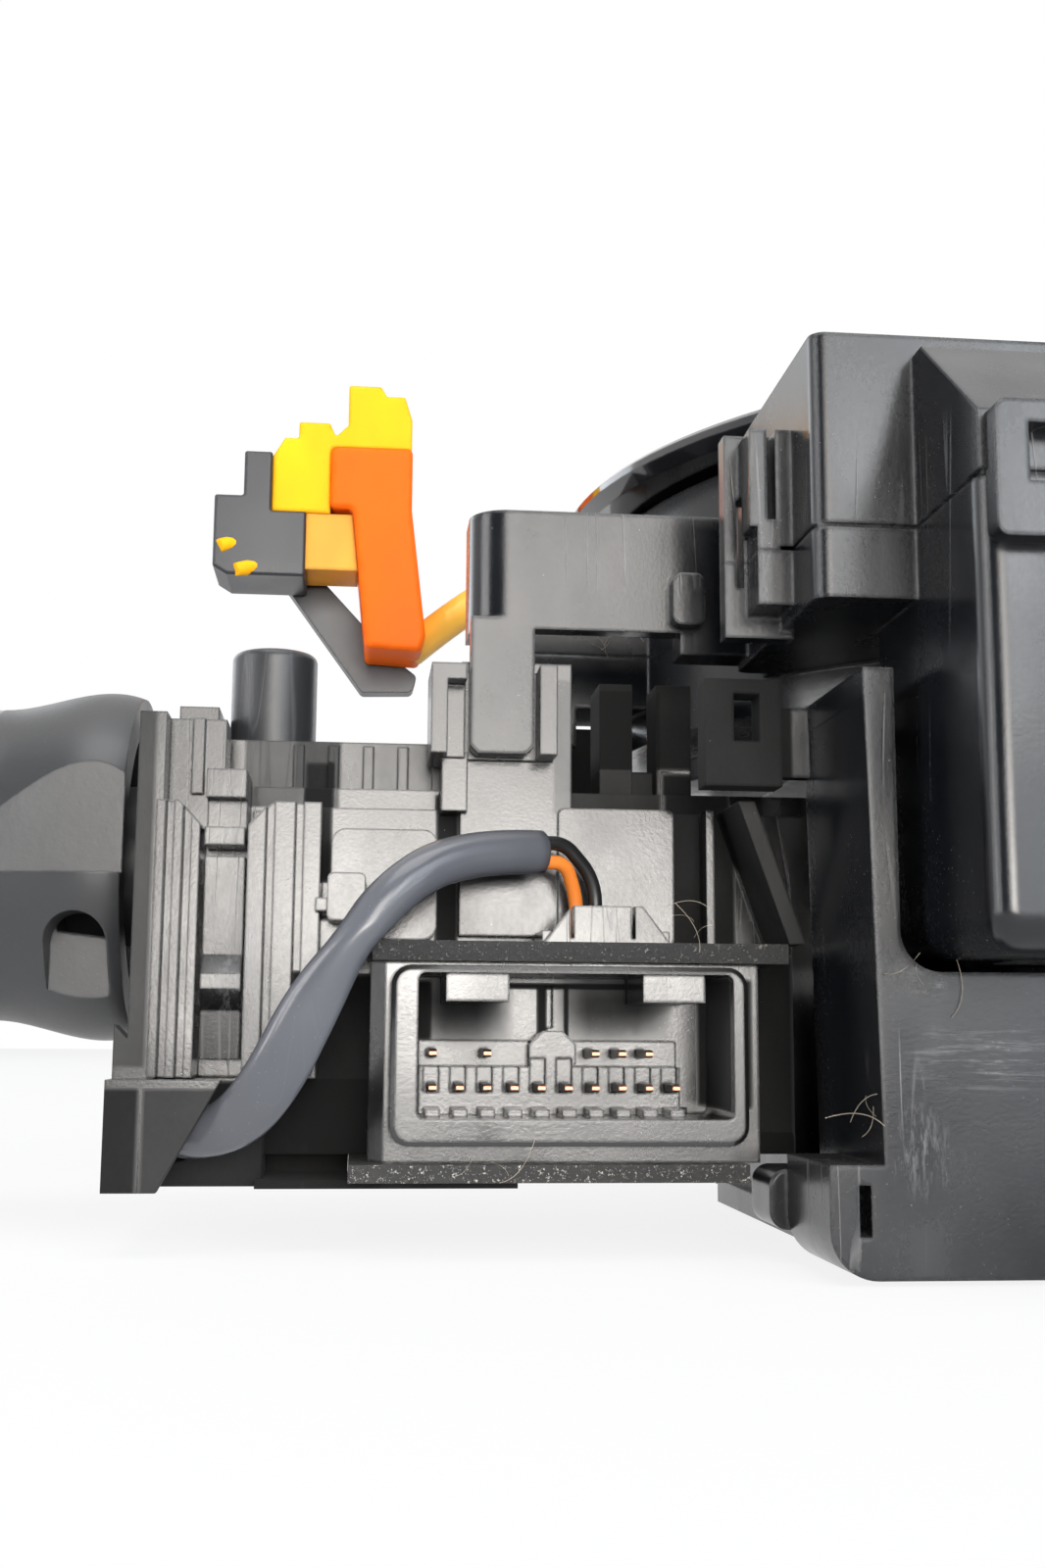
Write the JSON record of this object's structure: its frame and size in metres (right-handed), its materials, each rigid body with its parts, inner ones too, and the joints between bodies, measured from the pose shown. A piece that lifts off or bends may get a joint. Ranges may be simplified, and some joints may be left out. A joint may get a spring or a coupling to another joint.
{
  "type": "steering column combination switch",
  "caption": "Steering-column combination switch: clamp base, clock spring with airbag pigtail, lever modules with harness sockets, and turn and wiper levers.",
  "frame": {"origin": "On the steering axis, at the dash-side end of the column bore.", "axes": "+Z along the steering axis to the driver, X across the levers, +Y away from the side that shows the harness sockets."},
  "size_m": [0.4272, 0.124, 0.1017],
  "materials": {
    "airbag_black": "black plastic",
    "airbag_orange": "orange plastic",
    "airbag_tan": "tan plastic",
    "airbag_yellow": "yellow plastic",
    "base_black": "satin moulded black plastic, scuffed",
    "board": "dark resin board with a rough cut edge",
    "case_black": "satin moulded black plastic",
    "core_black": "black insulation",
    "core_orange": "orange insulation",
    "film": "copper and film ribbon",
    "gloss_black": "glossy black plastic",
    "lead_grey": "grey cable sheath",
    "lever_grey": "fine-grained dark plastic",
    "pigtail_yellow": "yellow tube",
    "pin_copper": "tinned copper pins",
    "socket_black": "satin black glass-filled plastic",
    "steel": "plated steel"
  },
  "bodies": {
    "column_fixed": {"base_bracket": "base_black", "clamp_screw": "steel", "clamp_nut": "steel", "stator_case": "base_black", "stator_cover": "base_black", "plug_lock": "base_black", "ribbon_coil": "film", "stator_screws": "steel", "module_screws": "steel", "left_case": "case_black", "left_cover": "case_black", "circuit_board": "board", "insulating_board": "board", "harness_socket": "socket_black", "connector_pins": "pin_copper", "grey_lead": "lead_grey", "black_core": "core_black", "orange_core": "core_orange", "right_case": "case_black", "right_cover": "case_black", "right_circuit_board": "board", "right_insulating_board": "board", "right_harness_socket": "socket_black", "right_connector_pins": "pin_copper"},
    "rotor_body": {"rotor": "gloss_black", "cancel_cam": "case_black", "wheel_plug": "case_black", "wheel_plug_pins": "pin_copper", "pigtail_gland": "case_black", "pigtail_tube": "pigtail_yellow", "airbag_plug": "airbag_orange", "airbag_plug_lock": "airbag_yellow", "airbag_side_cover": "airbag_tan", "airbag_wire_cap": "airbag_black", "airbag_strap": "airbag_black"},
    "pawl_body": {"cancel_pawl": "case_black"},
    "left_turn_body": {"left_lever_bracket": "case_black", "left_lever_pin": "steel"},
    "left_lever_body": {"left_lever_root": "lever_grey", "left_lever_ring": "gloss_black", "left_lever_stalk": "lever_grey", "left_lever_cap": "lever_grey", "left_plunger_spring": "steel"},
    "left_plunger_body": {"left_detent_plunger": "case_black"},
    "left_knob_body": {"left_lever_knob": "lever_grey"},
    "right_turn_body": {"right_lever_bracket": "case_black", "right_lever_pin": "steel"},
    "right_lever_body": {"right_lever_root": "lever_grey", "right_lever_ring": "gloss_black", "right_lever_stalk": "lever_grey", "right_lever_cap": "lever_grey", "right_plunger_spring": "steel"},
    "right_plunger_body": {"right_detent_plunger": "case_black"},
    "right_knob_body": {"right_lever_knob": "lever_grey"}
  },
  "joints": [
    {"name": "rotor_spin", "type": "hinge", "parent": "column_fixed", "child": "rotor_body", "pos_m": [0, 0, 0.072], "axis": [0, 0, 1], "range_deg": [-900, 900]},
    {"name": "cancel_pawl_swing", "type": "hinge", "parent": "column_fixed", "child": "pawl_body", "pos_m": [-0.044, -0.006, 0.031], "axis": [0, 0, 1], "range_deg": [-8, 8], "stiffness_Nm_per_rad": 0.002},
    {"name": "left_lever_turn", "type": "hinge", "parent": "column_fixed", "child": "left_turn_body", "pos_m": [-0.0827, -0.014, 0.0326], "axis": [0, 0, 1], "range_deg": [-10, 10]},
    {"name": "left_lever_lift", "type": "hinge", "parent": "left_turn_body", "child": "left_lever_body", "pos_m": [-0.0827, -0.014, 0.0326], "axis": [0, 1, 0], "range_deg": [-6, 6]},
    {"name": "left_plunger_slide", "type": "slide", "parent": "left_lever_body", "child": "left_plunger_body", "axis": [-1, 0, 0], "range_m": [0, 0.0012], "stiffness_N_per_m": 800, "deforming": ["left_plunger_spring"]},
    {"name": "left_knob_turn", "type": "hinge", "parent": "left_lever_body", "child": "left_knob_body", "pos_m": [-0.19, -0.014, 0.0326], "axis": [1, 0, 0], "range_deg": [-30, 60]},
    {"name": "right_lever_turn", "type": "hinge", "parent": "column_fixed", "child": "right_turn_body", "pos_m": [0.0827, -0.014, 0.0326], "axis": [0, 0, 1], "range_deg": [-10, 10]},
    {"name": "right_lever_lift", "type": "hinge", "parent": "right_turn_body", "child": "right_lever_body", "pos_m": [0.0827, -0.014, 0.0326], "axis": [0, 1, 0], "range_deg": [-6, 6]},
    {"name": "right_plunger_slide", "type": "slide", "parent": "right_lever_body", "child": "right_plunger_body", "axis": [1, 0, 0], "range_m": [0, 0.0012], "stiffness_N_per_m": 800, "deforming": ["right_plunger_spring"]},
    {"name": "right_knob_turn", "type": "hinge", "parent": "right_lever_body", "child": "right_knob_body", "pos_m": [0.19, -0.014, 0.0326], "axis": [1, 0, 0], "range_deg": [-60, 30]}
  ]
}
